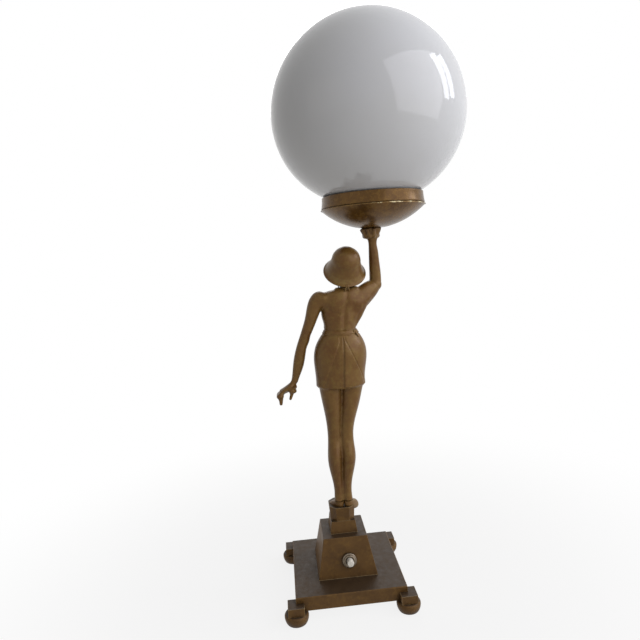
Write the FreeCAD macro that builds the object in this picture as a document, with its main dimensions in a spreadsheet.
import FreeCAD, Part
import math
import os

import Sketcher
from FreeCAD import Placement, Rotation, Vector

# Figural table lamp. A cast lady stands on a stepped square base and holds up a
# shallow dish with a collar and an opal glass globe. Millimetres, +Z up, origin on
# the table under the centre of the base. The lady faces +Y and the switch faces -Y.

SIZES = [
    # base
    ("foot_radius", 12.9, "bun foot, at its widest"),
    ("foot_height", 10.8, "bun foot, table to corner block"),
    ("foot_belly", 7.4, "height of the widest line of a bun foot"),
    ("foot_tread", 6.4, "radius of the flat that stands on the table"),
    ("foot_neck", 9.4, "radius of a bun foot where it meets its block"),
    ("block_width", 17.6, "square corner block"),
    ("block_height", 9.0, "corner block, from the plate's underside"),
    ("plate_width", 120.0, "base plate, side"),
    ("plate_height", 15.2, "base plate, thickness of its edge"),
    ("plate_top", 4.0, "base plate, thickness of its top"),
    ("plate_wall", 5.0, "base plate, thickness of its rim"),
    ("plate_bevel", 0.8, "bevel round the plate's top edge"),
    ("boss_width", 19.0, "solid corner of the plate, side"),
    ("lead_hole_radius", 4.0, "hole for the leads in the plate's top"),
    ("lead_hole_back", 19.0, "hole for the leads behind the lamp's centre"),
    ("tier_foot", 66.0, "lower tier, width at its foot"),
    ("tier_head", 49.2, "lower tier, width at its head"),
    ("tier_height", 43.0, "lower tier, height"),
    ("tier_wall", 3.6, "lower tier, wall"),
    ("cap_foot", 30.7, "upper tier, width at its foot"),
    ("cap_head", 27.2, "upper tier, width at its head"),
    ("cap_height", 13.5, "upper tier, height"),
    ("pier_foot", 26.6, "pedestal, across its flats at its foot"),
    ("pier_head", 28.6, "pedestal, across its flats at its head"),
    ("pier_height", 16.0, "pedestal, height"),
    ("pier_facet_low", 13.6, "width of the pedestal's front facet at its foot"),
    ("pier_facet_high", 15.4, "width of the pedestal's front facet at its head"),
    ("cast_fillet", 0.6, "softened edges of the castings"),
    # fasteners in the base
    ("pipe_radius", 5.0, "threaded tie pipe, outside"),
    ("pipe_bore", 3.5, "threaded tie pipe, inside radius"),
    ("pipe_grip", 10.0, "length of tie pipe screwed into the pedestal"),
    ("pipe_below", 9.0, "length of tie pipe under the base plate's top"),
    ("hole_gap", 0.25, "radial clearance of a hole round its pipe or screw"),
    ("tie_nut_flats", 17.0, "tie nut, across flats"),
    ("tie_nut_height", 4.0, "tie nut, height"),
    ("tie_washer_radius", 13.0, "tie washer, outside"),
    ("tie_washer_height", 1.6, "tie washer, thickness"),
    ("ballast_width", 76.0, "ballast slab, side"),
    ("ballast_height", 7.0, "ballast slab, thickness"),
    ("ballast_bore", 16.0, "radius of the hole in the ballast round the tie nut"),
    ("cover_height", 1.2, "bottom cover, thickness"),
    ("cover_sink", 0.8, "depth of the bottom cover inside the plate"),
    ("cover_gap", 0.3, "gap round the bottom cover"),
    ("cover_screw_inset", 14.0, "cover screws inside the plate's edges"),
    ("cover_screw_radius", 1.5, "cover screw, shank"),
    ("cover_screw_head", 3.0, "cover screw, head radius"),
    ("cover_screw_head_height", 0.9, "cover screw, head height"),
    ("cover_screw_length", 5.0, "cover screw, shank length"),
    ("foot_screw_radius", 2.0, "foot screw, shank"),
    ("foot_screw_head", 3.5, "foot screw, head radius"),
    ("foot_screw_head_height", 2.4, "foot screw, head height"),
    ("foot_screw_sink", 1.6, "depth of a foot screw's head above the table"),
    ("foot_screw_grip", 6.5, "foot screw, length in the corner block"),
    ("inlet_height", 7.0, "cord inlet above the plate's underside"),
    ("inlet_radius", 4.6, "cord inlet hole in the plate's rim"),
    ("inlet_bore", 3.2, "bore of the cord inlet bush"),
    ("inlet_flange", 6.4, "cord inlet bush, flange radius"),
    ("inlet_flange_height", 1.8, "cord inlet bush, flange thickness"),
    # switch
    ("switch_height", 19.0, "switch axis above the foot of the lower tier"),
    ("switch_offset", 2.4, "switch axis to the right of the lamp's centre"),
    ("bushing_radius", 5.2, "threaded bushing of the switch"),
    ("bushing_proud", 2.6, "bushing, height outside the sloping face"),
    ("ring_radius", 7.9, "ring nut, foot radius"),
    ("ring_neck", 6.6, "ring nut, head radius"),
    ("ring_step", 3.6, "ring nut, height of its foot"),
    ("ring_height", 6.4, "ring nut, full height"),
    ("button_radius", 3.8, "push button, radius"),
    ("button_length", 14.5, "push button, full length"),
    ("button_well", 5.5, "bore for the button, depth behind the sloping face"),
    ("button_proud", 7.4, "push button, length outside the ring nut"),
    ("button_travel", 3.0, "push button, travel"),
    ("button_gap", 0.08, "radial running clearance of the push button"),
    ("button_groove", 0.35, "depth of the fine groove round the button"),
    ("button_groove_drop", 3.0, "fine groove below the tip of the button"),
    ("ring_clearance", 0.5, "gap between the ring nut's mouth and the button"),
    ("switch_body_radius", 9.5, "switch body behind the face"),
    ("switch_body_length", 11.5, "switch body, length behind the face"),
    ("terminal_radius", 1.6, "switch terminal screw"),
    ("terminal_length", 2.6, "switch terminal screw, height"),
    ("terminal_reach", 5.2, "switch terminal screws from the switch axis"),
    # figure
    ("leg_length", 139.0, "sole to hem"),
    ("skirt_length", 61.0, "hem to belt"),
    ("torso_length", 45.5, "belt to the root of the neck"),
    ("neck_length", 7.0, "root of the neck to the jaw"),
    ("head_height", 36.0, "chin to crown, without the hat"),
    ("figure_shift", 2.6, "soles to the right of the lamp's centre"),
    ("hem_shift", 6.3, "hem to the right of the soles"),
    ("belt_shift", 9.2, "belt to the right of the soles"),
    ("neck_shift", 18.6, "neck to the right of the soles"),
    ("head_shift", 20.2, "head to the right of the soles"),
    ("ankle_width", 21.0, "both ankles"),
    ("calf_width", 31.6, "both calves"),
    ("knee_width", 29.2, "both knees"),
    ("thigh_width", 49.6, "both thighs at the hem"),
    ("hem_width", 55.4, "skirt at its hem"),
    ("hip_width", 59.0, "skirt at the hips"),
    ("waist_width", 36.8, "waist at the belt"),
    ("chest_width", 45.0, "chest under the arms"),
    ("nape_flare", 11.5, "half width of the slope from the neck to the shoulders"),
    ("neck_width", 14.4, "neck"),
    ("head_width", 28.5, "head"),
    ("lip_height", 1.6, "thin band under the skirt's hem"),
    ("lip_inset", 1.3, "the thin band stands this far inside the hem"),
    ("shoe_length", 24.5, "heel to toe"),
    ("shoe_width", 10.4, "each shoe"),
    ("shoe_height", 6.0, "each shoe, sole to ankle"),
    ("shoe_droop", 9.5, "toes bent down over the pedestal's edge"),
    ("shoe_splay", 36.0, "each shoe turned out, degrees"),
    ("ankle_back", 7.0, "ankles behind the lamp's centre"),
    ("ankle_radius", 5.4, "half width of each ankle"),
    ("hat_radius", 16.0, "dome of the hat"),
    ("hat_dome", 20.6, "height of the dome above the brim's root"),
    ("brim_radius", 23.8, "brim of the hat"),
    ("brim_drop", 12.6, "brim, from its root to its edge"),
    ("hat_wall", 1.5, "thickness of the hat's brim"),
    ("hat_level", 20.0, "root of the brim above the chin"),
    ("hat_tilt", 42.0, "hat tipped back, degrees"),
    ("hat_lean", 5.0, "hat tipped to the right, degrees"),
    ("arm_radius", 6.5, "upper arm"),
    ("forearm_radius", 6.2, "thickest part of the forearm"),
    ("wrist_radius", 3.7, "wrist of the lowered arm"),
    ("raised_wrist_radius", 4.8, "wrist of the raised arm"),
    ("finger_radius", 1.9, "finger at its root"),
    ("finger_tip", 1.5, "finger at its tip"),
    ("hand_forward", 6.0, "lowered hand in front of the shoulders"),
    ("finger_length", 14.8, "fingers of the lowered hand"),
    ("raised_reach", 53.8, "raised palm to the right of the soles"),
    ("elbow_rise", 1.8, "raised elbow above the root of the neck"),
    ("shoulder_drop", 11.0, "centre of the lowered shoulder below the root of the neck"),
    ("palm_height", 310.0, "raised palm above the soles"),
    ("elbow_forward", 9.0, "raised elbow in front of the frontal plane"),
    ("lowered_reach", 45.4, "lowered wrist to the left of the soles"),
    ("lowered_rise", 5.0, "lowered wrist above the hem"),
    # gallery
    ("dish_radius", 57.0, "dish at its rim"),
    ("dish_depth", 22.0, "dish, rim above its flat"),
    ("dish_flat", 13.0, "radius of the flat under the dish"),
    ("dish_wall", 1.2, "dish, thickness of the metal"),
    ("collar_radius", 54.8, "collar at its top edge"),
    ("collar_flare", 56.2, "collar at its flared foot"),
    ("collar_height", 12.6, "collar, height"),
    ("collar_gap", 0.3, "dark gap between the dish's rim and the collar"),
    ("collar_wall", 1.1, "collar, thickness of the metal"),
    ("collar_ledge", 7.0, "width of the ledge on which the globe's neck stands"),
    ("nipple_radius", 4.0, "threaded nipple, outside"),
    ("nipple_bore", 2.8, "threaded nipple, inside radius"),
    ("nipple_grip", 8.0, "length of nipple screwed into the hand"),
    ("nipple_above", 13.0, "length of nipple above the dish's flat"),
    ("gallery_nut_flats", 14.0, "lock nut, across flats"),
    ("gallery_nut_height", 3.0, "lock nut, height"),
    ("gallery_washer_radius", 8.6, "washer, outside"),
    ("gallery_washer_height", 1.2, "washer, thickness"),
    ("spider_width", 9.0, "width of each strap of the spider"),
    ("spider_wall", 1.4, "thickness of the spider"),
    ("spider_hub", 11.5, "radius of the spider's hub"),
    # lampholder and bulb
    ("holder_radius", 19.0, "lampholder shell, outside"),
    ("holder_wall", 1.2, "lampholder shell, wall"),
    ("holder_height", 34.0, "lampholder shell, height"),
    ("holder_cap_height", 9.0, "lampholder cap, height"),
    ("holder_floor", 2.0, "floor of the lampholder cap"),
    ("holder_gap", 0.3, "gap between lampholder pieces"),
    ("core_height", 11.0, "ceramic core, height of its floor"),
    ("thread_height", 19.0, "screw shell, height"),
    ("thread_wall", 0.5, "screw shell, wall"),
    ("contact_radius", 3.0, "centre contact, radius"),
    ("contact_height", 2.0, "centre contact, height"),
    ("bulb_cap_radius", 13.0, "bulb cap, outside"),
    ("bulb_cap_length", 24.0, "bulb cap, length"),
    ("bulb_gap", 0.1, "radial running clearance of the bulb cap"),
    ("bulb_seat", 0.3, "bulb tip above the centre contact"),
    ("bulb_tip_height", 2.5, "insulated tip of the bulb cap"),
    ("bulb_radius", 28.0, "bulb glass, at its widest"),
    ("bulb_neck", 12.4, "bulb glass, radius where it enters its cap"),
    ("bulb_length", 68.0, "bulb glass, from its cap to its crown"),
    # globe
    ("globe_radius", 103.2, "globe, outside, at its widest"),
    ("globe_drop", 84.2, "widest line of the globe above its neck"),
    ("globe_wall", 2.6, "globe, thickness of the glass"),
    ("fitter_radius", 50.0, "globe's neck, outside"),
    ("neck_sink", 0.4, "globe's neck ends this far below the collar's top"),
    ("seat_gap", 0.3, "globe's neck above its ledge"),
]

doc = FreeCAD.newDocument("figural_table_lamp")
sheet = doc.addObject("Spreadsheet::Sheet", "Sizes")
for row, (alias, number, note) in enumerate(SIZES, start=1):
    sheet.set(f"A{row}", alias)
    sheet.set(f"B{row}", str(number))
    sheet.set(f"C{row}", note)
    sheet.setAlias(f"B{row}", alias)
doc.recompute()


class Size:
    """A number together with the sheet formula that it comes from."""

    def __init__(self, number, formula):
        self.number = number
        self.formula = formula

    def __add__(self, other):
        other = as_size(other)
        return Size(self.number + other.number, f"({self.formula} + {other.formula})")

    def __sub__(self, other):
        other = as_size(other)
        return Size(self.number - other.number, f"({self.formula} - {other.formula})")

    def __mul__(self, factor):
        factor = as_size(factor)
        return Size(self.number * factor.number, f"({self.formula} * {factor.formula})")

    def __truediv__(self, divisor):
        divisor = as_size(divisor)
        return Size(self.number / divisor.number, f"({self.formula} / {divisor.formula})")

    def __neg__(self):
        return Size(-self.number, f"(0 - {self.formula})")

    def root(self):
        return Size(math.sqrt(self.number), f"sqrt({self.formula})")


def as_size(value):
    """A plain number becomes a size whose formula is the number."""
    if isinstance(value, Size):
        return value
    return Size(float(value), str(float(value)))


def size(alias):
    """The size that a cell of the sheet holds."""
    return Size(float(sheet.get(alias)), f"Sizes.{alias}")


def number(value):
    """The number that a size stands for now."""
    return as_size(value).number


# ---------------------------------------------------------------- helpers for bodies
def new_body(label):
    """A PartDesign body that carries its node's name."""
    body = doc.addObject("PartDesign::Body", label)
    body.Label = label
    return body


def base_plane(body, role):
    """One of the body's own origin planes."""
    return next(item for item in body.Origin.OriginFeatures if item.Role == role)


def new_sketch(body, name, role="XZ_Plane", lift=0.0, aside=0.0):
    """A sketch on one of the body's own planes, moved off it by lift and along it by aside."""
    sketch = body.newObject("Sketcher::SketchObject", f"{body.Label}_{name}")
    sketch.AttachmentSupport = (base_plane(body, role), "")
    sketch.MapMode = "FlatFace"
    lift, aside = as_size(lift), as_size(aside)
    sketch.AttachmentOffset = Placement(Vector(aside.number, 0, lift.number), Rotation())
    for axis, value in (("x", aside), ("z", lift)):
        if value.formula != "0.0":
            sketch.setExpression(f"AttachmentOffset.Base.{axis}", value.formula)
    return sketch


def pin_point(sketch, edge, end, across, up):
    """Fix one end of an edge at two sizes from the sketch's origin."""
    for kind, value, axis in (("DistanceX", across, -2), ("DistanceY", up, -1)):
        value = as_size(value)
        if value.formula == "0.0":
            sketch.addConstraint(Sketcher.Constraint("PointOnObject", edge, end, axis))
            continue
        spot = sketch.addConstraint(Sketcher.Constraint(kind, -1, 1, edge, end, value.number))
        sketch.setExpression(f"Constraints[{spot}]", value.formula)


def outline(sketch, corners, arcs=None):
    """A closed outline through the corners, each a pair of sizes.

    arcs gives the radius of the edge that leaves a corner, by the corner's place in
    the list: positive where the edge bulges to the right of its way, and negative
    where it bulges to the left.
    """
    arcs = arcs or {}
    count = len(corners)
    points = [Vector(number(across), number(up), 0) for across, up in corners]
    ends = []
    for spot in range(count):
        start, end = points[spot], points[(spot + 1) % count]
        if spot not in arcs:
            edge = sketch.addGeometry(Part.LineSegment(start, end))
            ends.append((edge, 1, 2))
            continue
        radius = as_size(arcs[spot])
        chord = end - start
        side = 1.0 if radius.number > 0 else -1.0
        reach = math.sqrt(max(radius.number**2 - (chord.Length / 2) ** 2, 0.0))
        left = Vector(-chord.y, chord.x, 0) / chord.Length
        middle = (start + end) / 2 + left * (reach * side)
        first, last = (start, end) if side > 0 else (end, start)
        turn = math.atan2(first.y - middle.y, first.x - middle.x)
        stop = math.atan2(last.y - middle.y, last.x - middle.x)
        circle = Part.Circle(middle, Vector(0, 0, 1), abs(radius.number))
        edge = sketch.addGeometry(Part.ArcOfCircle(circle, turn, stop))
        ends.append((edge, 1, 2) if side > 0 else (edge, 2, 1))
        plain = radius if side > 0 else -radius
        spot_radius = sketch.addConstraint(Sketcher.Constraint("Radius", edge, plain.number))
        sketch.setExpression(f"Constraints[{spot_radius}]", plain.formula)
    for spot in range(count):
        edge, start_end, _ = ends[spot]
        before, _, last_end = ends[spot - 1]
        sketch.addConstraint(Sketcher.Constraint("Coincident", before, last_end, edge, start_end))
        pin_point(sketch, edge, start_end, *corners[spot])


def square(sketch, half, centre=(0.0, 0.0)):
    """A square about a centre."""
    half = as_size(half)
    across, up = as_size(centre[0]), as_size(centre[1])
    outline(
        sketch,
        [
            (across - half, up - half),
            (across + half, up - half),
            (across + half, up + half),
            (across - half, up + half),
        ],
    )


def circle(sketch, radius, centre=(0.0, 0.0)):
    """A circle about a centre."""
    radius = as_size(radius)
    middle = Vector(number(centre[0]), number(centre[1]), 0)
    edge = sketch.addGeometry(Part.Circle(middle, Vector(0, 0, 1), radius.number))
    pin_point(sketch, edge, 3, *centre)
    spot = sketch.addConstraint(Sketcher.Constraint("Radius", edge, radius.number))
    sketch.setExpression(f"Constraints[{spot}]", radius.formula)


def hexagon(sketch, flats):
    """A hexagon about the origin, given across its flats."""
    reach = as_size(flats) / math.sqrt(3.0)
    corners = []
    for step in range(6):
        turn = math.radians(60 * step)
        corners.append((reach * round(math.cos(turn), 9), reach * round(math.sin(turn), 9)))
    outline(sketch, corners)


def pad(body, sketch, length, backwards=False):
    """Raise the sketch into metal."""
    feature = body.newObject("PartDesign::Pad", f"{sketch.Name}_pad")
    feature.Profile = sketch
    feature.Reversed = backwards
    feature.Length = number(length)
    feature.setExpression("Length", as_size(length).formula)
    sketch.Visibility = False
    doc.recompute()
    return feature


def pocket(body, sketch, depth, backwards=False):
    """Sink the sketch into metal, and make sure that it removed some."""
    before = body.Shape.Volume
    feature = body.newObject("PartDesign::Pocket", f"{sketch.Name}_pocket")
    feature.Profile = sketch
    feature.Reversed = backwards
    feature.Length = number(depth)
    feature.setExpression("Length", as_size(depth).formula)
    doc.recompute()
    if not body.Shape.Volume < before:
        raise RuntimeError(f"{feature.Name} removed nothing")
    return feature


def spin(body, sketch):
    """Turn the sketch round its own upright axis."""
    feature = body.newObject("PartDesign::Revolution", f"{sketch.Name}_turned")
    feature.Profile = sketch
    feature.ReferenceAxis = (sketch, ["V_Axis"])
    feature.Angle = 360.0
    doc.recompute()
    return feature


def turned(label, corners, arcs=None, name="section"):
    """A body of revolution about its own Z axis, from half of its section."""
    body = new_body(label)
    sketch = new_sketch(body, name)
    outline(sketch, corners, arcs)
    spin(body, sketch)
    return body


def tapered(body, name, low, high, hollow=False):
    """A loft between two sketches, added or removed."""
    kind = "SubtractiveLoft" if hollow else "AdditiveLoft"
    feature = body.newObject(f"PartDesign::{kind}", f"{body.Label}_{name}")
    feature.Profile = low
    feature.Sections = [high]
    feature.Ruled = True
    doc.recompute()
    return feature


def repeat_round(body, feature, count, name):
    """Copies of a feature spaced evenly round the body's Z axis."""
    pattern = body.newObject("PartDesign::PolarPattern", f"{body.Label}_{name}")
    pattern.Originals = [feature]
    pattern.Axis = (base_axis(body), [""])
    pattern.Angle = 360
    pattern.Occurrences = count
    body.Tip = pattern
    doc.recompute()
    return pattern


def base_axis(body):
    """The body's own upright axis."""
    return next(item for item in body.Origin.OriginFeatures if item.Role == "Z_Axis")


def place(item, across=0.0, along=0.0, up=0.0):
    """Put a finished body in the lamp, with its place bound to the sheet."""
    spot = [as_size(value) for value in (across, along, up)]
    item.Placement = Placement(Vector(*(value.number for value in spot)), item.Placement.Rotation)
    for axis, value in zip("xyz", spot):
        if value.formula != "0.0":
            item.setExpression(f"Placement.Base.{axis}", value.formula)


# ---------------------------------------------------------------- levels of the lamp
plate_low = size("foot_height")
plate_high = plate_low + size("plate_height")
tier_high = plate_high + size("tier_height")
cap_high = tier_high + size("cap_height")
sole_level = cap_high + size("pier_height")
hem_level = sole_level + size("leg_length")
belt_level = hem_level + size("skirt_length")
neck_level = belt_level + size("torso_length")
dish_level = sole_level + size("palm_height")
gallery_across = size("figure_shift") + size("raised_reach")
rim_level = dish_level + size("dish_depth")
collar_level = rim_level + size("collar_gap")

foot_reach = size("plate_width") / 2
cover_screw_reach = size("plate_width") / 2 - size("cover_screw_inset")
CORNERS = {
    "front_left": (-1, -1),
    "front_right": (1, -1),
    "rear_left": (-1, 1),
    "rear_right": (1, 1),
}


# ---------------------------------------------------------------- base
def base_plate():
    """Hollow cast plate with a square block round each corner."""
    body = new_body("base_plate")
    half = size("plate_width") / 2
    sketch = new_sketch(body, "side", "XY_Plane")
    square(sketch, half)
    slab = pad(body, sketch, size("plate_height"))
    bevel = body.newObject("PartDesign::Chamfer", "base_plate_bevel")
    heights = [face.CenterOfMass.z for face in slab.Shape.Faces]
    bevel.Base = (slab, [f"Face{heights.index(max(heights)) + 1}"])
    bevel.Size = number(size("plate_bevel"))
    bevel.setExpression("Size", "Sizes.plate_bevel")
    doc.recompute()

    reach = foot_reach
    for corner, (east, north) in CORNERS.items():
        sketch = new_sketch(body, f"block_{corner}", "XY_Plane")
        square(sketch, size("block_width") / 2, (reach * east, reach * north))
        pad(body, sketch, size("block_height"))

    rim = half - size("plate_wall")
    boss = half - size("boss_width")
    cross = [(boss, -rim), (boss, -boss), (rim, -boss)]
    cross += [(rim, boss), (boss, boss), (boss, rim)]
    cross += [(-across, -up) for across, up in cross]
    sketch = new_sketch(body, "hollow", "XY_Plane")
    outline(sketch, cross)
    pocket(body, sketch, size("plate_height") - size("plate_top"), backwards=True)

    sketch = new_sketch(body, "cover_seat", "XY_Plane")
    square(sketch, rim)
    pocket(body, sketch, size("cover_sink") + size("cover_height"), backwards=True)

    for name, radius, back in (
        ("pipe_hole", size("pipe_radius") + size("hole_gap"), 0.0),
        ("lead_hole", size("lead_hole_radius"), size("lead_hole_back")),
    ):
        sketch = new_sketch(body, name, "XY_Plane")
        circle(sketch, radius, (0.0, back))
        pocket(body, sketch, size("plate_height"), backwards=True)

    for corner, (east, north) in CORNERS.items():
        sketch = new_sketch(body, f"foot_hole_{corner}", "XY_Plane")
        circle(sketch, size("foot_screw_radius"), (reach * east, reach * north))
        pocket(body, sketch, size("foot_screw_grip"), backwards=True)
        spot = cover_screw_reach
        sketch = new_sketch(body, f"cover_hole_{corner}", "XY_Plane")
        circle(sketch, size("cover_screw_radius"), (spot * east, spot * north))
        deep = size("cover_sink") + size("cover_screw_length")
        pocket(body, sketch, deep, backwards=True)

    # The cord inlet goes through the rear wall, which is the far one in this sketch.
    sketch = new_sketch(body, "inlet", "XZ_Plane", lift=-half)
    circle(sketch, size("inlet_radius"), (0.0, size("inlet_height")))
    pocket(body, sketch, size("plate_wall") + size("cover_gap"), backwards=True)
    place(body, up=plate_low)
    return body


def bun_foot(label, east, north):
    """Squat turned foot with a counterbored hole for its screw."""
    tread, belly, neck = size("foot_tread"), size("foot_belly"), size("foot_neck")
    widest, high = size("foot_radius"), size("foot_height")
    hole = size("foot_screw_radius") + size("hole_gap")
    sink = size("foot_screw_head") + size("hole_gap")
    ledge = size("foot_screw_sink") + size("foot_screw_head_height")
    body = turned(
        label,
        [
            (sink, 0.0),
            (tread, 0.0),
            (widest, belly),
            (neck, high),
            (hole, high),
            (hole, ledge),
            (sink, ledge),
        ],
        {1: widest * 1.05, 2: widest * 0.36},
    )
    reach = foot_reach
    place(body, reach * east, reach * north)
    return body


def screws_round(label, reach, corners):
    """Four equal screws, one in each corner, as one group of solids."""
    body = new_body(label)
    body.AllowCompound = True
    sketch = new_sketch(body, "section", lift=reach, aside=reach)
    outline(sketch, corners)
    screw = spin(body, sketch)
    repeat_round(body, screw, 4, "four_corners")
    return body


def foot_screws():
    """Cheese-head screws that go up through the feet into the corner blocks."""
    head, shank = size("foot_screw_head"), size("foot_screw_radius")
    low = size("foot_screw_sink")
    ledge = low + size("foot_screw_head_height")
    high = size("foot_height") + size("foot_screw_grip")
    corners = [(0.0, low), (head, low), (head, ledge), (shank, ledge), (shank, high), (0.0, high)]
    return screws_round("foot_screws", foot_reach, corners)


def cover_screws():
    """Pan-head screws that hold the bottom cover to the solid corners of the plate."""
    head, shank = size("cover_screw_head"), size("cover_screw_radius")
    ledge = plate_low + size("cover_sink")
    low = ledge - size("cover_screw_head_height")
    high = ledge + size("cover_screw_length")
    corners = [(0.0, low), (head, low), (head, ledge), (shank, ledge), (shank, high), (0.0, high)]
    return screws_round("cover_screws", cover_screw_reach, corners)


def bottom_cover():
    """Sheet that closes the underside of the base."""
    body = new_body("bottom_cover")
    half = size("plate_width") / 2 - size("plate_wall") - size("cover_gap")
    sketch = new_sketch(body, "sheet", "XY_Plane")
    square(sketch, half)
    pad(body, sketch, size("cover_height"))
    spot = cover_screw_reach
    hole = size("cover_screw_radius") + size("hole_gap")
    for corner, (east, north) in CORNERS.items():
        sketch = new_sketch(body, f"hole_{corner}", "XY_Plane")
        circle(sketch, hole, (spot * east, spot * north))
        pocket(body, sketch, size("cover_height"), backwards=True)
    place(body, up=plate_low + size("cover_sink"))
    return body


def ballast_weight():
    """Cast-iron slab under the plate's top, with a hole round the tie nut."""
    body = new_body("ballast_weight")
    sketch = new_sketch(body, "slab", "XY_Plane")
    square(sketch, size("ballast_width") / 2)
    pad(body, sketch, size("ballast_height"))
    sketch = new_sketch(body, "hole", "XY_Plane")
    circle(sketch, size("ballast_bore"))
    pocket(body, sketch, size("ballast_height"), backwards=True)
    sketch = new_sketch(body, "lead_notch", "XY_Plane")
    circle(sketch, size("lead_hole_radius"), (0.0, size("lead_hole_back")))
    pocket(body, sketch, size("ballast_height"), backwards=True)
    place(body, up=plate_high - size("plate_top") - size("ballast_height"))
    return body


def lean_sides(feature, foot, head, height):
    """Give a raised or sunk square sides that lean in towards its head."""
    slope = (foot - head) / 2 / height
    feature.TaperAngle = -math.degrees(math.atan(slope.number))
    feature.setExpression("TaperAngle", f"0 deg - atan({slope.formula})")
    doc.recompute()


def tapered_block(label, foot, head, height):
    """A square block that narrows towards its head."""
    body = new_body(label)
    sketch = new_sketch(body, "foot", "XY_Plane")
    square(sketch, foot / 2)
    lean_sides(pad(body, sketch, height), foot, head, height)
    return body


def soften(body, radius, keep):
    """Round the edges of the body's last feature that keep picks out."""
    feature = body.Tip
    names = []
    for spot, edge in enumerate(feature.Shape.Edges, start=1):
        if keep(edge):
            names.append(f"Edge{spot}")
    fillet = body.newObject("PartDesign::Fillet", f"{body.Label}_fillet")
    fillet.Base = (feature, names)
    fillet.Radius = number(radius)
    fillet.setExpression("Radius", as_size(radius).formula)
    doc.recompute()
    return fillet


def lower_tier():
    """Large hollow block with the switch hole in its front face."""
    foot, head, high = size("tier_foot"), size("tier_head"), size("tier_height")
    wall = size("tier_wall")
    body = tapered_block("lower_tier", foot, head, high)
    soften(body, size("cast_fillet"), lambda edge: edge.CenterOfMass.z > number(wall))
    sketch = new_sketch(body, "inside", "XY_Plane")
    square(sketch, foot / 2 - wall)
    lean_sides(pocket(body, sketch, high - wall, backwards=True), foot, head, high)

    sketch = new_sketch(body, "pipe_hole", "XY_Plane", lift=high)
    circle(sketch, size("pipe_radius") + size("hole_gap"))
    pocket(body, sketch, wall * 2)

    sketch = new_sketch(body, "switch_hole", "XZ_Plane")
    lean_switch_sketch(sketch)
    circle(sketch, size("bushing_radius") + size("hole_gap"))
    pocket(body, sketch, wall * 3)
    place(body, up=plate_high)
    return body


def switch_spot():
    """Where the switch axis leaves the sloping face, from the lower tier's foot."""
    half_foot, half_head = size("tier_foot") / 2, size("tier_head") / 2
    rise = size("switch_height")
    front = half_foot - (half_foot - half_head) * rise / size("tier_height")
    return size("switch_offset"), -front, rise


def face_slope():
    """Formula of the angle between the sloping face and the plate, in degrees."""
    run = (size("tier_foot") - size("tier_head")) / 2
    slope = size("tier_height") / run
    return math.degrees(math.atan(slope.number)), f"atan({slope.formula})"


def lean_switch_sketch(sketch):
    """Lay a sketch of the front plane on the sloping face, about the switch axis."""
    across, along, rise = switch_spot()
    slope, formula = face_slope()
    lean = Rotation(Vector(1, 0, 0), slope - 90.0)
    sketch.AttachmentOffset = Placement(
        Vector(across.number, rise.number, -along.number), lean
    )
    sketch.setExpression("AttachmentOffset.Base.x", across.formula)
    sketch.setExpression("AttachmentOffset.Base.y", rise.formula)
    sketch.setExpression("AttachmentOffset.Base.z", (-along).formula)
    sketch.setExpression("AttachmentOffset.Rotation.Angle", f"{formula} - 90 deg")


def upper_tier():
    """Small block between the lower tier and the pedestal."""
    body = tapered_block("upper_tier", size("cap_foot"), size("cap_head"), size("cap_height"))
    soften(body, size("cast_fillet"), lambda edge: edge.CenterOfMass.z > 1.0)
    sketch = new_sketch(body, "pipe_hole", "XY_Plane")
    circle(sketch, size("pipe_radius") + size("hole_gap"))
    pocket(body, sketch, size("cap_height"), backwards=True)
    place(body, up=tier_high)
    return body


def octagon(sketch, flats, facet):
    """Eight sides: flats across, with front facets of one width and corner facets between."""
    far, near = flats / 2, facet / 2
    outline(
        sketch,
        [
            (near, -far),
            (far, -near),
            (far, near),
            (near, far),
            (-near, far),
            (-far, near),
            (-far, -near),
            (-near, -far),
        ],
    )


def pedestal():
    """Faceted pier that widens from its foot to its head."""
    body = new_body("pedestal")
    low = new_sketch(body, "foot", "XY_Plane")
    octagon(low, size("pier_foot"), size("pier_facet_low"))
    high = new_sketch(body, "head", "XY_Plane", lift=size("pier_height"))
    octagon(high, size("pier_head"), size("pier_facet_high"))
    tapered(body, "facets", low, high)
    sketch = new_sketch(body, "pipe_hole", "XY_Plane")
    circle(sketch, size("pipe_radius") + size("hole_gap"))
    pocket(body, sketch, size("pipe_grip") + size("hole_gap"), backwards=True)
    place(body, up=cap_high)
    return body


def tube(label, inside, outside, length):
    """A plain ring or tube about its own Z axis."""
    corners = [(inside, 0.0), (outside, 0.0), (outside, length), (inside, length)]
    return turned(label, corners)


def hex_nut(label, flats, height, bore):
    """A hexagon nut about its own Z axis."""
    body = new_body(label)
    sketch = new_sketch(body, "hexagon", "XY_Plane")
    hexagon(sketch, flats)
    pad(body, sketch, height)
    sketch = new_sketch(body, "bore", "XY_Plane")
    circle(sketch, bore)
    pocket(body, sketch, height, backwards=True)
    return body


def tie_set():
    """Threaded pipe through the tiers, with the washer and nut that pull them together."""
    under = plate_high - size("plate_top")
    bore = size("pipe_radius") + size("hole_gap")
    pipe_low = plate_high - size("pipe_below")
    length = cap_high + size("pipe_grip") - pipe_low
    pipe = tube("tie_pipe", size("pipe_bore"), size("pipe_radius"), length)
    place(pipe, up=pipe_low)
    washer = tube("tie_washer", bore, size("tie_washer_radius"), size("tie_washer_height"))
    place(washer, up=under - size("tie_washer_height"))
    nut = hex_nut("tie_nut", size("tie_nut_flats"), size("tie_nut_height"), bore)
    place(nut, up=under - size("tie_washer_height") - size("tie_nut_height"))


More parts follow.
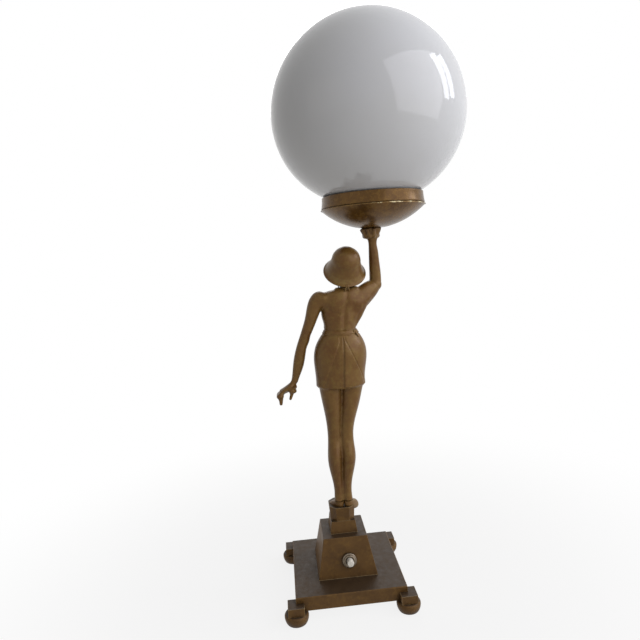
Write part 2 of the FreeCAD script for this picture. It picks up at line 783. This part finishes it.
def cord_inlet_bush():
    """Flanged bush in the rear wall of the base, ready for a cord."""
    bore, shank = size("inlet_bore"), size("inlet_radius") - size("hole_gap")
    flange, wall = size("inlet_flange"), size("plate_wall")
    body = turned(
        "cord_inlet_bush",
        [
            (bore, -wall),
            (shank, -wall),
            (shank, 0.0),
            (flange, 0.0),
            (flange, size("inlet_flange_height")),
            (bore, size("inlet_flange_height")),
        ],
    )
    body.Placement = Placement(Vector(), Rotation(Vector(1, 0, 0), -90))
    place(body, along=size("plate_width") / 2, up=plate_low + size("inlet_height"))


# ---------------------------------------------------------------- switch
def on_sloping_face(body):
    """Stand a body on the sloping face, its own Z axis pointing out of it."""
    slope, formula = face_slope()
    across, along, rise = switch_spot()
    body.Placement = Placement(Vector(), Rotation(Vector(1, 0, 0), slope))
    place(body, across, along, plate_high + rise)
    body.setExpression("Placement.Rotation.Angle", formula)


def switch_set():
    """Push switch: body with threaded bushing, ring nut, button and terminals."""
    back = -(size("tier_wall") + size("hole_gap"))
    deep = back - size("switch_body_length")
    bore = size("button_radius") + size("button_gap")
    thread, proud = size("bushing_radius"), size("bushing_proud")
    body = turned(
        "switch_body",
        [
            (0.0, deep),
            (size("switch_body_radius"), deep),
            (size("switch_body_radius"), back),
            (thread, back),
            (thread, proud),
            (bore, proud),
            (bore, -size("button_well")),
            (0.0, -size("button_well")),
        ],
    )
    on_sloping_face(body)

    foot, neck = size("ring_radius"), size("ring_neck")
    step, high = size("ring_step"), size("ring_height")
    mouth = size("button_radius") + size("ring_clearance")
    seat = proud + size("hole_gap")
    around = thread + size("hole_gap")
    ring = turned(
        "switch_ring_nut",
        [
            (around, 0.0),
            (foot, 0.0),
            (foot, step),
            (neck, step),
            (neck, high),
            (mouth, high),
            (mouth, seat),
            (around, seat),
        ],
    )
    on_sloping_face(ring)

    tip = high + size("button_proud")
    low = tip - size("button_length")
    groove = tip - size("button_groove_drop")
    radius, notch = size("button_radius"), size("button_groove")
    button = turned(
        "switch_button",
        [
            (0.0, low),
            (radius, low),
            (radius, groove - notch),
            (radius - notch, groove),
            (radius, groove + notch),
            (radius, tip - notch * 2),
            (radius - notch * 2, tip),
            (0.0, tip),
        ],
    )
    on_sloping_face(button)

    screws = new_body("switch_terminals")
    screws.AllowCompound = True
    sketch = new_sketch(screws, "screws", "XY_Plane", lift=deep - size("terminal_length"))
    circle(sketch, size("terminal_radius"), (size("terminal_reach"), 0.0))
    circle(sketch, size("terminal_radius"), (-size("terminal_reach"), 0.0))
    pad(screws, sketch, size("terminal_length"))
    on_sloping_face(screws)


# ---------------------------------------------------------------- gallery
def bowl_centre():
    """Height of the centre of the dish's curve above its flat, and the curve's radius."""
    rim, flat, deep = size("dish_radius"), size("dish_flat"), size("dish_depth")
    up = (rim * rim - flat * flat + deep * deep) / (deep * 2)
    return up, (flat * flat + up * up).root()


def gallery_dish():
    """Spun dish: a flat in the hand, and one curve up to the rim."""
    up, outside = bowl_centre()
    wall, deep = size("dish_wall"), size("dish_depth")
    inside = outside - wall
    hole = size("nipple_radius") + size("hole_gap")
    inner_flat = (inside * inside - (up - wall) * (up - wall)).root()
    inner_rim = (inside * inside - (up - deep) * (up - deep)).root()
    body = turned(
        "gallery_dish",
        [
            (hole, 0.0),
            (size("dish_flat"), 0.0),
            (size("dish_radius"), deep),
            (inner_rim, deep),
            (inner_flat, wall),
            (hole, wall),
        ],
        {1: outside, 3: -inside},
    )
    place(body, gallery_across, 0.0, dish_level)
    return body


def gallery_collar():
    """Spun ring with a flared foot and an inner ledge for the neck of the globe."""
    top, foot, high = size("collar_radius"), size("collar_flare"), size("collar_height")
    wall, ledge = size("collar_wall"), size("collar_ledge")
    body = turned(
        "gallery_collar",
        [
            (top - ledge, 0.0),
            (foot - wall, 0.0),
            (foot, wall),
            (top, high),
            (top - wall, high),
            (top - wall, wall),
            (top - ledge, wall),
        ],
        {2: high * -2.4},
    )
    place(body, gallery_across, 0.0, collar_level)
    return body


def stack_levels():
    """Heights of the washer, spider, nut and lampholder above the dish's flat."""
    washer = size("dish_wall")
    spider = washer + size("gallery_washer_height")
    nut = spider + size("spider_wall")
    holder = nut + size("gallery_nut_height")
    return washer, spider, nut, holder


def gallery_spider():
    """Hub with three straps that rise through the dish and carry the collar."""
    _, level, _, _ = stack_levels()
    wall, hub = size("spider_wall"), size("spider_hub")
    rise = size("dish_depth") + size("collar_gap") - level
    far = size("collar_radius") - size("collar_wall") * 2
    seat = size("collar_ledge") - size("collar_wall")
    body = new_body("gallery_spider")
    sketch = new_sketch(body, "strap", "XZ_Plane")
    outline(
        sketch,
        [
            (0.0, 0.0),
            (hub, 0.0),
            (far - seat, rise - wall),
            (far, rise - wall),
            (far, rise),
            (far - seat, rise),
            (hub, wall),
            (0.0, wall),
        ],
    )
    strap = pad(body, sketch, size("spider_width"))
    strap.SideType = "Symmetric"
    doc.recompute()
    repeat_round(body, strap, 3, "three_straps")
    sketch = new_sketch(body, "hub", "XY_Plane")
    circle(sketch, hub)
    pad(body, sketch, wall)
    sketch = new_sketch(body, "hole", "XY_Plane")
    circle(sketch, size("nipple_radius") + size("hole_gap"))
    pocket(body, sketch, wall * 2, backwards=True)
    place(body, gallery_across, 0.0, dish_level + level)
    return body


def gallery_fixings():
    """Nipple from the hand, with its washer and lock nut."""
    washer, _, nut, _ = stack_levels()
    hole = size("nipple_radius") + size("hole_gap")
    length = size("nipple_grip") + size("nipple_above")
    nipple = tube("gallery_nipple", size("nipple_bore"), size("nipple_radius"), length)
    place(nipple, gallery_across, 0.0, dish_level - size("nipple_grip"))
    ring = tube(
        "gallery_washer", hole, size("gallery_washer_radius"), size("gallery_washer_height")
    )
    place(ring, gallery_across, 0.0, dish_level + washer)
    lock = hex_nut("gallery_nut", size("gallery_nut_flats"), size("gallery_nut_height"), hole)
    place(lock, gallery_across, 0.0, dish_level + nut)


# ---------------------------------------------------------------- lampholder and bulb
def lampholder():
    """Cap, shell, ceramic core, screw shell and centre contact."""
    _, _, _, base = stack_levels()
    hole = size("nipple_radius") + size("hole_gap")
    outside, wall = size("holder_radius"), size("holder_wall")
    inside = outside - wall
    core = inside - size("holder_gap")
    rim = core - wall * 2
    high, floor = size("holder_cap_height"), size("holder_floor")
    foot = outside - high / 2
    cap = turned(
        "holder_cap",
        [
            (hole, 0.0),
            (foot, 0.0),
            (outside, high / 2),
            (outside, high),
            (rim, high),
            (rim, high - floor),
            (foot - floor, floor),
            (hole, floor),
        ],
    )
    place(cap, gallery_across, 0.0, dish_level + base)

    level = dish_level + base + high
    shell = tube("holder_shell", inside, outside, size("holder_height"))
    place(shell, gallery_across, 0.0, level)

    thread_in = size("bulb_cap_radius") + size("bulb_gap")
    thread_out = thread_in + size("thread_wall")
    socket = thread_out + size("holder_gap")
    deep = size("core_height")
    ceramic = turned(
        "holder_core",
        [
            (0.0, 0.0),
            (core, 0.0),
            (core, deep + size("thread_height")),
            (socket, deep + size("thread_height")),
            (socket, deep),
            (0.0, deep),
        ],
    )
    place(ceramic, gallery_across, 0.0, level)
    thread = tube("holder_thread", thread_in, thread_out, size("thread_height"))
    place(thread, gallery_across, 0.0, level + deep)
    contact = turned(
        "holder_contact",
        [
            (0.0, 0.0),
            (size("contact_radius"), 0.0),
            (size("contact_radius"), size("contact_height")),
            (0.0, size("contact_height")),
        ],
    )
    place(contact, gallery_across, 0.0, level + deep)
    return level + deep + size("contact_height") + size("bulb_seat")


def bulb(level):
    """Tip, cap and hollow glass of the bulb, from its tip upwards."""
    radius, high = size("bulb_cap_radius"), size("bulb_tip_height")
    tip = turned(
        "bulb_tip",
        [
            (0.0, 0.0),
            (size("contact_radius"), 0.0),
            (radius - size("bulb_tip_height"), high),
            (0.0, high),
        ],
    )
    place(tip, gallery_across, 0.0, level)
    length = size("bulb_cap_length")
    cap = turned(
        "bulb_cap",
        [
            (0.0, 0.0),
            (radius - size("bulb_tip_height"), 0.0),
            (radius, size("bulb_tip_height")),
            (radius, length),
            (0.0, length),
        ],
    )
    place(cap, gallery_across, 0.0, level + high)

    ball, neck, whole = size("bulb_radius"), size("bulb_neck"), size("bulb_length")
    wall = size("holder_wall")
    centre = whole - ball
    shoulder = ball * math.cos(math.radians(40))
    drop = ball * math.sin(math.radians(40))
    thin = ball - wall
    inner_shoulder = thin * math.cos(math.radians(40))
    inner_drop = thin * math.sin(math.radians(40))
    glass = turned(
        "bulb_glass",
        [
            (neck - wall, 0.0),
            (neck, 0.0),
            (shoulder, centre - drop),
            (0.0, whole),
            (0.0, whole - wall),
            (inner_shoulder, centre - inner_drop),
        ],
        {1: ball * -1.3, 2: ball, 4: -thin, 5: ball * 1.3 + wall},
    )
    place(glass, gallery_across, 0.0, level + high + length)


def globe():
    """Blown opal ball, a little flattened below, with a short straight neck."""
    ball, wall, neck = size("globe_radius"), size("globe_wall"), size("fitter_radius")
    seat = size("collar_wall") + size("seat_gap")
    length = size("collar_height") - seat - size("neck_sink")
    drop, swell = size("globe_drop"), ball - neck
    cheek = (swell * swell + drop * drop) / (swell * 2)
    thin, bore = ball - wall, neck - wall
    body = turned(
        "globe",
        [
            (bore, 0.0),
            (neck, 0.0),
            (neck, length),
            (ball, length + drop),
            (0.0, length + drop + ball),
            (0.0, length + drop + thin),
            (thin, length + drop),
            (bore, length),
        ],
        {2: cheek, 3: ball, 5: -thin, 6: -cheek},
    )
    place(body, gallery_across, 0.0, collar_level + seat)
    return body


# ---------------------------------------------------------------- figure
def value(alias):
    """A size of the sheet as a plain number."""
    return number(size(alias))


def ring(centre, across, forward, half, front, back, squareness=1.0):
    """A smooth closed section round a centre, with its own depth in front and behind."""
    points = []
    for step in range(12):
        turn = math.radians(30 * step)
        side, deep = math.cos(turn), math.sin(turn)
        side = math.copysign(abs(side) ** squareness, side)
        deep = math.copysign(abs(deep) ** squareness, deep)
        depth = front if deep > 0 else back
        points.append(centre + across * (half * side) + forward * (depth * deep))
    curve = Part.BSplineCurve()
    curve.interpolate(points, True)
    return Part.Wire([curve.toShape()])


def skin(rings):
    """A closed form through the rings, flat at both ends."""
    form = Part.makeLoft(rings, True, False, False)
    if form.Volume < 0:
        form.reverse()
    return form


def upright(rows, squareness=1.0):
    """A form through level rings: height, across, along, half width, front and back."""
    rings = []
    for up, across, along, half, front, back in rows:
        centre = Vector(across, along, up)
        rings.append(
            ring(centre, Vector(1, 0, 0), Vector(0, 1, 0), half, front, back, squareness)
        )
    return skin(rings)


def limb(rows):
    """A form along a bent path: place, way in the XZ plane, half height and half depth."""
    rings = []
    for across, along, up, way_across, way_up, half, depth in rows:
        way = Vector(-way_up, 0, way_across).normalize()
        rings.append(ring(Vector(across, along, up), way, Vector(0, 1, 0), half, depth, depth))
    return skin(rings)


def finger(points, root, tip):
    """A bent finger through three places, with a blunt tip."""
    start, middle, end = (Vector(*point) for point in points)
    first, last = middle - start, end - middle
    rows = [
        (start, first, root),
        (middle, first + last, (root + tip) / 2),
        (middle + last * 0.62, last, tip),
        (middle + last * 0.92, last, tip * 0.84),
        (end, last, tip * 0.42),
    ]
    rings = []
    for centre, way, radius in rows:
        way = Vector(way).normalize()
        side = way.cross(Vector(0, 1, 0)).normalize()
        rings.append(ring(centre, side, way.cross(side), radius, radius, radius))
    return skin(rings)


def joined(pieces):
    """One casting from several overlapping forms."""
    form = pieces[0]
    for piece in pieces[1:]:
        form = form.fuse(piece)
    if len(form.Solids) != 1 or not form.isValid():
        raise RuntimeError("a casting fell into pieces")
    return form.Solids[0]


def one_solid(form):
    """The largest solid of a cut form."""
    return max(form.Solids, key=lambda solid: solid.Volume)


def cast_piece(label, form):
    """A cast piece of the figure, standing on the pedestal."""
    item = doc.addObject("Part::Feature", label)
    item.Label = label
    item.Shape = form
    place(item, size("figure_shift"), 0.0, sole_level)
    return item


def shoe(side, pier):
    """One shoe, turned out, with its toes bent down over the edge of the pedestal."""
    long, half = value("shoe_length"), value("shoe_width") / 2
    top, droop = value("shoe_height"), value("shoe_droop")
    form = upright(
        [
            (-droop, 0.0, long * 0.62, half * 0.46, long * 0.13, long * 0.15),
            (-droop * 0.80, 0.0, long * 0.53, half * 0.80, long * 0.26, long * 0.27),
            (-droop * 0.35, 0.0, long * 0.34, half * 0.98, long * 0.42, long * 0.42),
            (0.0, 0.0, long * 0.20, half, long * 0.45, long * 0.41),
            (top * 0.40, 0.0, long * 0.11, half * 0.98, long * 0.39, long * 0.34),
            (top * 0.75, 0.0, long * 0.04, half * 0.96, long * 0.29, long * 0.27),
            (top, 0.0, 0.0, half, long * 0.235, long * 0.235),
        ],
        0.9,
    )
    spread = value("ankle_width") / 2 - value("ankle_radius")
    form.rotate(Vector(), Vector(0, 0, 1), -side * value("shoe_splay"))
    form.translate(Vector(side * spread, -value("ankle_back"), 0))
    return one_solid(form.cut(pier))


def leg_rows(side):
    """Rings of one leg from the shoe's top to the band under the hem."""
    long = value("leg_length") - value("lip_height")
    ankle, calf = value("ankle_width") / 2, value("calf_width") / 2
    knee, thigh = value("knee_width") / 2, value("thigh_width") / 2
    hem = value("hem_shift")
    slim = value("ankle_radius")
    low = value("shoe_height")
    back = -value("ankle_back")
    rows = [
        (low, 0.0, back, ankle, slim, 5.4, 5.4),
        (long * 0.10, 0.0, back + 0.4, ankle * 0.95, slim * 0.96, 5.0, 5.4),
        (long * 0.17, 0.02, back + 1.0, ankle * 0.98, slim * 1.0, 5.2, 5.8),
        (long * 0.27, 0.08, back + 1.8, (ankle + calf) * 0.49, slim * 1.22, 6.4, 7.6),
        (long * 0.435, 0.25, back + 3.2, calf, calf * 0.535, 7.8, 10.0),
        (long * 0.56, 0.28, back + 4.8, knee, knee * 0.54, 8.8, 8.4),
        (long * 0.765, 0.6, back + 5.6, (knee + thigh) * 0.455, (knee + thigh) * 0.245, 11.0, 10.6),
        (long * 0.94, 0.9, -1.0, thigh * 0.935, thigh * 0.50, 13.6, 13.2),
        (long, 1.0, -1.0, thigh, thigh * 0.53, 14.6, 14.2),
    ]
    rings = []
    for up, share, along, reach, half, front, rear in rows:
        rings.append((up, hem * share + side * (reach - half), along, half, front, rear))
    return rings


def skirt():
    """Close skirt from its hem over the hips to the belt, with the thin band below."""
    low, high = value("leg_length"), value("leg_length") + value("skirt_length")
    hem, hips = value("hem_width") / 2, value("hip_width") / 2
    waist, rise = value("waist_width") / 2, high - low
    start, end = value("hem_shift"), value("belt_shift")
    form = upright(
        [
            (low, start, 0.0, hem, 20.0, 21.0),
            (low + rise * 0.28, start + 0.3, 0.0, hem * 1.02, 20.4, 22.0),
            (low + rise * 0.56, start + 1.3, -0.3, hips, 20.0, 23.0),
            (low + rise * 0.74, start + 1.9, -0.3, hips * 0.93, 18.4, 21.6),
            (low + rise * 0.90, end - 0.4, 0.0, hips * 0.76, 15.2, 17.0),
            (high, end, 0.0, waist, 13.4, 14.0),
        ]
    )
    inset, thick = value("lip_inset"), value("lip_height")
    edge = ring(
        Vector(start, 0, low - thick),
        Vector(1, 0, 0),
        Vector(0, 1, 0),
        hem - inset,
        20.0 - inset,
        21.0 - inset,
    )
    band = Part.Face(edge).extrude(Vector(0, 0, thick * 2))
    return joined([form, band])


def torso():
    """Waist, back and shoulders, up to the root of the neck."""
    low = value("leg_length") + value("skirt_length")
    rise = value("torso_length")
    waist, chest = value("waist_width") / 2, value("chest_width") / 2
    start, end = value("belt_shift"), value("neck_shift")
    turn, flare = end - start, value("nape_flare")
    return upright(
        [
            (low, start, 0.0, waist * 0.985, 13.0, 13.4),
            (low + rise * 0.14, start + turn * 0.06, 0.0, waist * 0.97, 12.4, 12.6),
            (low + rise * 0.33, start + turn * 0.18, 0.3, chest * 0.91, 14.0, 12.6),
            (low + rise * 0.53, start + turn * 0.32, 0.6, chest, 16.4, 12.8),
            (low + rise * 0.73, start + turn * 0.42, 0.3, chest * 1.06, 15.4, 12.8),
            (low + rise * 0.88, start + turn * 0.48, 0.0, chest * 1.02, 12.4, 11.6),
            (low + rise * 0.96, start + turn * 0.62, 0.0, chest * 0.82, 9.8, 9.8),
            (low + rise, end, 0.0, flare, 8.2, 8.4),
        ]
    )


def lowered_arm():
    """Left arm that hangs beside the skirt, with the hand bent back."""
    reach, low = value("lowered_reach"), value("leg_length") + value("lowered_rise")
    upper, fore, wrist = value("arm_radius"), value("forearm_radius"), value("wrist_radius")
    forward = value("hand_forward")
    neck = value("leg_length") + value("skirt_length") + value("torso_length")
    shoulder = neck - value("shoulder_drop")
    drop = shoulder - low

    def at(down, across, along, way_across, way_up, half, depth):
        return (-across, along, shoulder - drop * down, way_across, way_up, half, depth)

    form = limb(
        [
            at(0.000, reach * 0.155, 0.0, -1.0, -0.10, upper * 1.58, upper * 1.45),
            at(0.011, reach * 0.311, 0.0, -0.8, -0.60, upper * 1.43, upper * 1.35),
            at(0.120, reach * 0.422, 0.2, -0.42, -0.91, upper * 1.18, upper * 1.15),
            at(0.246, reach * 0.511, 0.6, -0.40, -0.92, upper, upper),
            at(0.398, reach * 0.640, 1.2, -0.36, -0.93, upper * 0.87, upper * 0.90),
            at(0.528, reach * 0.744, forward * 0.35, -0.28, -0.96, fore * 0.90, fore * 0.92),
            at(0.695, reach * 0.835, forward * 0.55, -0.25, -0.97, fore, fore * 0.95),
            at(0.870, reach * 0.925, forward * 0.80, -0.22, -0.97, fore * 0.80, fore * 0.74),
            at(0.985, reach * 0.995, forward * 0.95, -0.30, -0.95, wrist * 1.06, wrist * 0.92),
        ]
    )
    palm = limb(
        [
            at(0.955, reach * 0.985, forward * 0.93, -0.30, -0.95, wrist, wrist * 0.88),
            at(1.010, reach * 1.035, forward, -0.62, -0.78, wrist * 0.92, wrist * 1.05),
            at(1.045, reach * 1.120, forward, -0.85, -0.53, wrist * 0.84, wrist * 1.50),
            at(1.075, reach * 1.220, forward, -0.87, -0.49, wrist * 0.78, wrist * 1.85),
            at(1.108, reach * 1.365, forward, -0.80, -0.60, wrist * 0.62, wrist * 1.95),
        ]
    )
    pieces = [form, palm]
    tip, root, long = value("finger_tip"), value("finger_radius"), value("finger_length")
    for spot in range(4):
        along = forward + (spot - 1.5) * root * 1.85
        bend = 1.0 - abs(spot - 1.2) * 0.05
        knuckle = low - long * 0.69
        start = (-reach * 1.345, along, knuckle)
        middle = (-reach * 1.395, along, knuckle - long * 0.51 * bend)
        end = (-reach * 1.375, along, knuckle - long * bend)
        pieces.append(finger([start, middle, end], root, tip))
    along = forward - wrist * 0.9
    thumb = [
        (-reach * 1.035, along, low - long * 0.31),
        (-reach * 1.105, along - 0.6, low - long * 0.81),
        (-reach * 1.140, along - 0.4, low - long * 1.27),
    ]
    pieces.append(finger(thumb, root * 1.2, tip))
    return joined(pieces)


def raised_arm():
    """Right arm: broad at the shoulder, sharply bent, the hand open under the dish."""
    palm, high = value("raised_reach"), value("palm_height")
    forward = value("elbow_forward")
    fore, wrist = value("forearm_radius"), value("raised_wrist_radius")
    bend = palm - 0.6
    neck = value("leg_length") + value("skirt_length") + value("torso_length")
    level = neck + value("elbow_rise")
    upper = limb(
        [
            (bend - 34.0, 0.0, level - 18.8, 1.0, 0.0, 15.8, 9.8),
            (bend - 26.0, 0.4, level - 18.2, 1.0, 0.0, 15.8, 10.6),
            (bend - 16.0, 2.0, level - 12.4, 1.0, 0.0, 14.4, 9.6),
            (bend - 6.5, forward * 0.55, level - 5.2, 1.0, 0.3, 10.3, 8.2),
            (bend - 0.6, forward * 0.90, level, 1.0, 0.8, 7.4, 7.2),
        ]
    )
    elbow = Part.makeSphere(fore * 1.17, Vector(bend, forward, level))
    reach = high - level
    lower = upright(
        [
            (level - 1.5, bend + 0.2, forward, fore * 1.10, fore * 1.10, fore * 1.10),
            (level + reach * 0.13, bend + 0.5, forward * 0.97, fore * 1.06, fore, fore),
            (level + reach * 0.27, bend + 0.3, forward * 0.86, fore * 1.01, fore * 0.96, fore),
            (level + reach * 0.44, bend - 0.3, forward * 0.64, fore * 0.92, fore * 0.88, fore * 0.9),
            (level + reach * 0.62, bend - 0.9, forward * 0.40, wrist * 1.06, wrist, wrist),
            (level + reach * 0.76, bend - 1.5, forward * 0.20, wrist, wrist * 0.88, wrist * 0.88),
            (level + reach * 0.86, bend - 1.6, 0.4, wrist * 1.45, wrist * 1.15, wrist * 1.15),
            (level + reach * 0.94, bend - 2.0, 0.0, wrist * 2.05, wrist * 1.5, wrist * 1.5),
            (high, bend - 2.2, 0.0, wrist * 2.3, wrist * 1.7, wrist * 1.7),
        ]
    )
    pieces = [lower, upper, elbow]
    root, tip = value("finger_radius") * 1.1, value("finger_tip") * 1.15
    for turn, far in ((172, 1.0), (206, 1.02), (240, 1.0), (278, 0.94), (28, 0.96)):
        side, deep = math.cos(math.radians(turn)), math.sin(math.radians(turn))
        start = (bend - 1.8 + 4.6 * side, 4.2 * deep, high - 10.5)
        middle = (bend - 2.1 + 9.0 * far * side, 7.0 * far * deep, high - 6.4)
        end = (bend - 2.3 + 11.6 * far * side, 9.6 * far * deep, high - 0.8)
        pieces.append(finger([start, middle, end], root, tip))
    pieces = [joined(pieces)]
    bore = Part.makeCylinder(
        value("nipple_radius"), value("nipple_grip"), Vector(palm, 0, high - value("nipple_grip"))
    )
    return pieces[0].cut(bore)


def hat():
    """Bell-shaped hat: a dome that flares into a deep turned-down brim."""
    dome, brim, wall = size("hat_radius"), size("brim_radius"), size("hat_wall")
    high, drop = size("hat_dome"), size("brim_drop")
    body = turned(
        "figure_hat",
        [
            (0.0, -wall),
            (dome - wall * 1.6, -wall),
            (brim - wall * 1.3, -drop),
            (brim, -drop),
            (dome, 0.0),
            (dome, high - dome),
            (0.0, high),
        ],
        {1: -drop * 1.5, 3: drop * -1.6, 5: dome},
    )
    lean = Rotation(Vector(0, 1, 0), value("hat_lean"))
    tilt = Rotation(Vector(1, 0, 0), value("hat_tilt"))
    body.Placement = Placement(Vector(), lean.multiply(tilt))
    across = size("figure_shift") + size("head_shift")
    place(body, across, 0.0, neck_level + size("neck_length") + size("hat_level"))
    return body


def head(cap):
    """Neck and head, cut off where the hat sits on them."""
    low = value("leg_length") + value("skirt_length") + value("torso_length")
    chin = low + value("neck_length")
    rise, half = value("head_height"), value("head_width") / 2
    neck, root, across = value("neck_width") / 2, value("neck_shift"), value("head_shift")
    form = upright(
        [
            (low, root, 0.0, value("nape_flare"), 8.2, 8.4),
            (low + (chin - low) * 0.30, root + 0.2, 0.2, neck * 1.15, 7.6, 7.6),
            (low + (chin - low) * 0.65, root + 0.4, 0.5, neck, 7.2, 7.2),
            (chin + rise * 0.02, across - 0.5, 1.0, half * 0.60, 12.0, 7.5),
            (chin + rise * 0.13, across, 1.0, half * 0.79, 15.6, 9.0),
            (chin + rise * 0.31, across, 1.0, half * 0.95, 17.0, 12.0),
            (chin + rise * 0.51, across, 1.0, half, 17.0, 14.0),
            (chin + rise * 0.70, across, 1.0, half * 0.93, 15.2, 14.0),
            (chin + rise * 0.87, across, 0.0, half * 0.68, 10.4, 11.0),
            (chin + rise * 0.98, across, 0.0, half * 0.26, 4.0, 4.0),
        ]
    )
    cutter = cap.Shape.copy()
    cutter.translate(Vector(-value("figure_shift"), 0, -number(sole_level)))
    return one_solid(form.cut(cutter))


def figure(block):
    """All cast pieces of the lady, from the shoes on their pedestal to the hat."""
    pier = block.Shape.copy()
    pier.translate(Vector(-value("figure_shift"), 0, -number(sole_level)))
    cast_piece("figure_shoes", Part.makeCompound([shoe(-1, pier), shoe(1, pier)]))
    cast_piece("figure_legs", joined([upright(leg_rows(-1)), upright(leg_rows(1))]))
    cast_piece("figure_skirt", skirt())
    trunk = torso()
    cast_piece("figure_torso", trunk)
    cast_piece("lowered_arm", one_solid(lowered_arm().cut(trunk)))
    cast_piece("raised_arm", one_solid(raised_arm().cut(trunk)))
    cast_piece("figure_head", head(hat()))


base_plate()
for corner, (east, north) in CORNERS.items():
    bun_foot(f"foot_{corner}", east, north)
foot_screws()
bottom_cover()
cover_screws()
ballast_weight()
lower_tier()
upper_tier()
block = pedestal()
tie_set()
cord_inlet_bush()
switch_set()
gallery_dish()
gallery_collar()
gallery_spider()
gallery_fixings()
bulb(lampholder())
globe()
figure(block)


# ---------------------------------------------------------------- check and write
def write_parts():
    """Check every object, then write one file for each node."""
    doc.recompute()
    for item in doc.Objects:
        if "Invalid" in item.State or "Error" in item.State:
            raise RuntimeError(f"{item.Label} failed: {item.State}")
    os.makedirs("parts", exist_ok=True)
    for item in doc.Objects:
        if item.TypeId not in ("PartDesign::Body", "Part::Feature"):
            continue
        if item.Shape.isNull() or not item.Shape.isValid():
            raise RuntimeError(f"{item.Label} has no valid shape")
        item.Shape.exportStep(f"parts/{item.Label}.step")
        print(f"{item.Label}: {len(item.Shape.Solids)} solids, {item.Shape.Volume / 1000:.2f} cm3")


write_parts()
